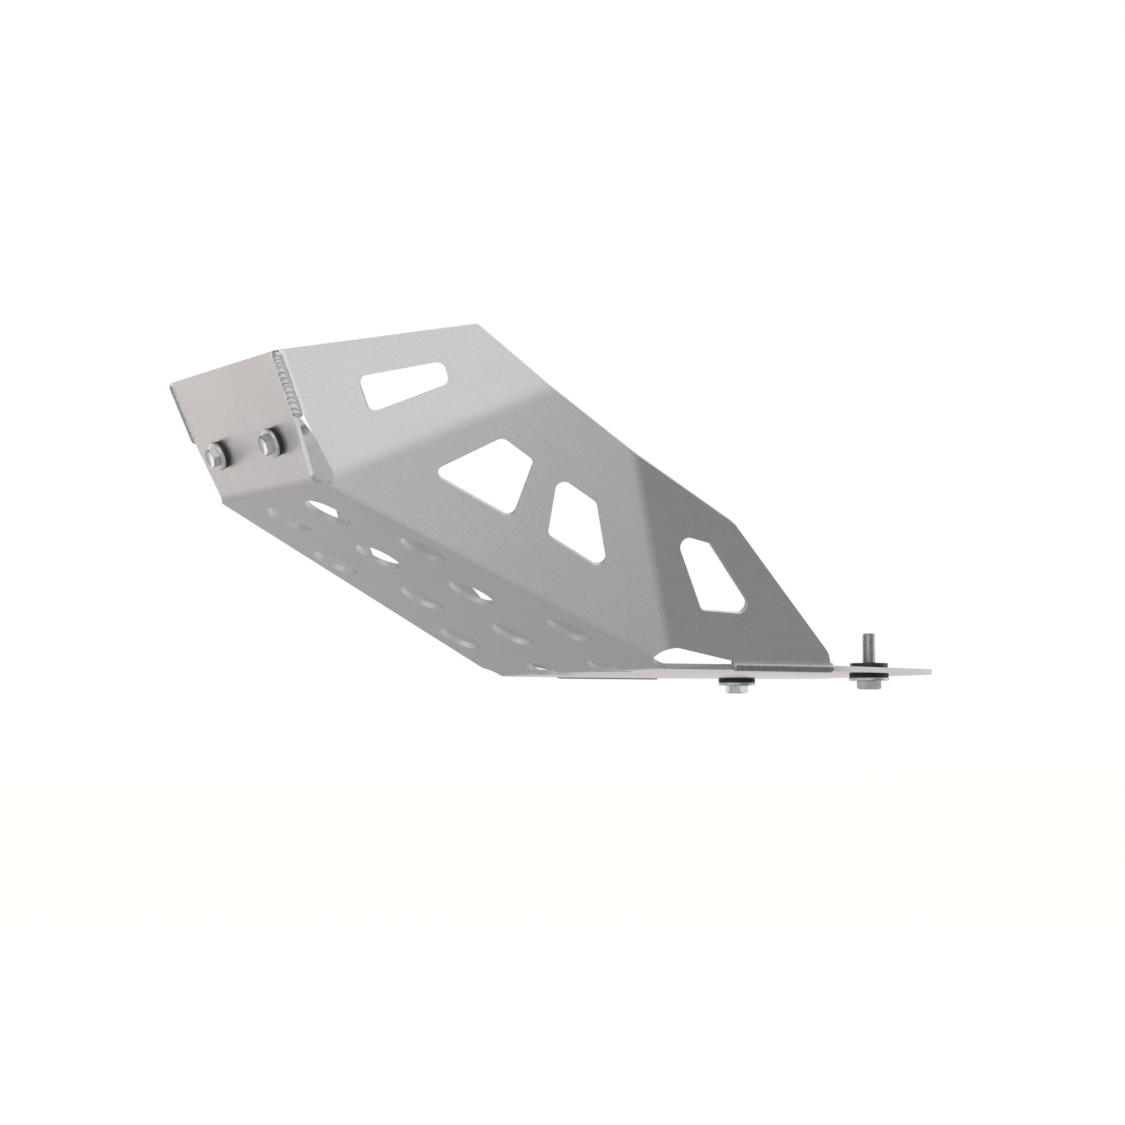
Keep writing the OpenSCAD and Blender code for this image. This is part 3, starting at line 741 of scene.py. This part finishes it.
for side_name, side, front_turn, rear_turn in (("left", -1, 18, -8), ("right", 1, 0, 14)):
    front_origin = front_fold + front_dir * front_bolt_h * MM + ACROSS * side * front_bolt_pitch / 2 * MM
    rear_origin = Vector((0, side * rear_bolt_pitch / 2 * MM, flat_z * MM))
    bolt_stack("front", side_name, front_origin, -front_in, front_turn, **front_bolt)
    bolt_stack("rear", side_name, rear_origin, -flat_in, rear_turn, **rear_bolt)


# Floor, light and camera

def studio_floor():
    """Pale and matt. To the camera it is white, and in the metal's reflections it glows with a graded
    painted reflection.
    """
    bpy.ops.mesh.primitive_plane_add(size=60, location=(-0.2, 0.4, -0.45))
    floor = bpy.context.object
    floor.name = "studio_floor"
    paper = bpy.data.materials.new("studio_floor")
    paper.use_nodes = True
    t = paper.node_tree
    t.nodes.clear()
    path = t.nodes.new("ShaderNodeLightPath").outputs
    x, y, _ = split(t, t.nodes.new("ShaderNodeTexCoord").outputs["Object"])
    # Painted reflection: a glow that only glossy rays see, bright towards negative x and far off, dim
    # towards positive x
    ahead = math_node(t, "MULTIPLY", spread(t, x, -1.0, 0.3, 0.68, 0.0),
                      spread(t, y, -0.4, 0.9, 1.0, 0.40))
    far = spread(t, math_node(t, "ADD", x, y), 1.1, 2.8, 0.0, 1.1)
    behind = math_node(t, "MULTIPLY", spread(t, x, 0.0, 0.9, 0.03, 0.24),
                       spread(t, y, -1.0, 0.1, 0.10, 1.0))
    painted_reflection = math_node(t, "ADD", math_node(t, "ADD", ahead, far), behind)
    seen = math_node(t, "MULTIPLY", path["Is Camera Ray"], 0.9)
    mirrored = math_node(t, "MULTIPLY", path["Is Glossy Ray"], painted_reflection)
    tint = t.nodes.new("ShaderNodeMix")
    tint.data_type = "RGBA"
    wire(t, spread(t, y, -1.3, 0.6), tint.inputs["Factor"])
    wire(t, (0.94, 0.97, 1.0, 1), tint.inputs["A"])
    wire(t, (1.0, 0.945, 0.905, 1), tint.inputs["B"])
    glow = t.nodes.new("ShaderNodeEmission")
    wire(t, tint.outputs["Result"], glow.inputs["Color"])
    wire(t, math_node(t, "ADD", seen, mirrored), glow.inputs["Strength"])
    matt = t.nodes.new("ShaderNodeBsdfDiffuse")
    wire(t, (0.49, 0.50, 0.52, 1), matt.inputs["Color"])
    both = t.nodes.new("ShaderNodeAddShader")
    wire(t, matt.outputs[0], both.inputs[0])
    wire(t, glow.outputs[0], both.inputs[1])
    wire(t, both.outputs[0], t.nodes.new("ShaderNodeOutputMaterial").inputs["Surface"])
    floor.data.materials.append(paper)


def studio_world():
    """White to the camera. To the metal it is soft, dark overhead and high beyond the plate, and bright
    low down beyond it and beside it."""
    world = bpy.data.worlds.new("studio")
    bpy.context.scene.world = world
    world.use_nodes = True
    t = world.node_tree
    t.nodes.clear()
    path = t.nodes.new("ShaderNodeLightPath").outputs
    x, y, z = split(t, t.nodes.new("ShaderNodeTexCoord").outputs["Generated"])
    soft = math_node(t, "MULTIPLY", spread(t, z, -0.2, 1.0, 0.34, 0.46),
                     spread(t, x, -1.0, 1.0, 1.15, 0.65))
    dark = math_node(t, "MULTIPLY", spread(t, y, 0.3, 0.85), spread(t, z, 0.05, 0.25, 0.0, 0.8))
    soft = math_node(t, "MULTIPLY", soft, math_node(t, "SUBTRACT", 1.0, dark))
    soft = math_node(t, "MULTIPLY", soft, spread(t, z, 0.85, 0.97, 1.0, 0.2))
    ahead = math_node(t, "MULTIPLY", spread(t, y, 0.3, 0.88), spread(t, z, 0.04, 0.14, 0.6, 0.0))
    beside = math_node(t, "MULTIPLY", spread(t, x, 0.6, 0.88), spread(t, z, 0.25, 0.6, 0.85, 0.0))
    beside = math_node(t, "MULTIPLY", beside, spread(t, y, 0.05, 0.25, 1.0, 0.0))
    soft = math_node(t, "ADD", soft, math_node(t, "ADD", ahead, beside))
    seen = t.nodes.new("ShaderNodeMix")
    wire(t, path["Is Camera Ray"], seen.inputs["Factor"])
    wire(t, soft, seen.inputs["A"])
    wire(t, 1.0, seen.inputs["B"])
    back = t.nodes.new("ShaderNodeBackground")
    wire(t, (1, 1, 1, 1), back.inputs["Color"])
    wire(t, seen.outputs["Result"], back.inputs["Strength"])
    wire(t, back.outputs[0], t.nodes.new("ShaderNodeOutputWorld").inputs["Surface"])


def softbox(name, place, aim, width, watts):
    light = bpy.data.lights.new(name, "AREA")
    light.shape = "RECTANGLE"
    light.size = light.size_y = width
    light.energy = watts
    lamp = bpy.data.objects.new(name, light)
    bpy.context.scene.collection.objects.link(lamp)
    lamp.location = place
    lamp.rotation_euler = (Vector(aim) - Vector(place)).to_track_quat("-Z", "Y").to_euler()


def camera():
    """Low, ahead of the plate and to its left, as in the photo."""
    lens = bpy.data.cameras.new("camera")
    lens.lens = 90.72
    lens.sensor_width = 36
    lens.clip_end = 50
    eye = bpy.data.objects.new("camera", lens)
    bpy.context.scene.collection.objects.link(eye)
    yaw, pitch = math.radians(28.256), math.radians(3.688)
    level = math.cos(pitch)
    forward = Vector((math.sin(yaw) * level, math.cos(yaw) * level, math.sin(pitch)))
    right = Vector((math.cos(yaw), -math.sin(yaw), 0))
    eye.matrix_world = axes_at((-1.19686, -1.83945, -0.06072), right, right.cross(forward), -forward)
    bpy.context.scene.camera = eye


studio_floor()
studio_world()
softbox("key", (-1.9, -1.5, 1.5), (-0.2, 0, 0.1), 2.4, 14)
softbox("fill", (1.3, -1.9, 0.7), (-0.1, 0, 0.05), 1.0, 0.5)
softbox("top", (0.9, 1.6, 1.9), (-0.2, 0, 0), 2.2, 14)
camera()
bpy.context.scene.view_settings.view_transform = "Standard"
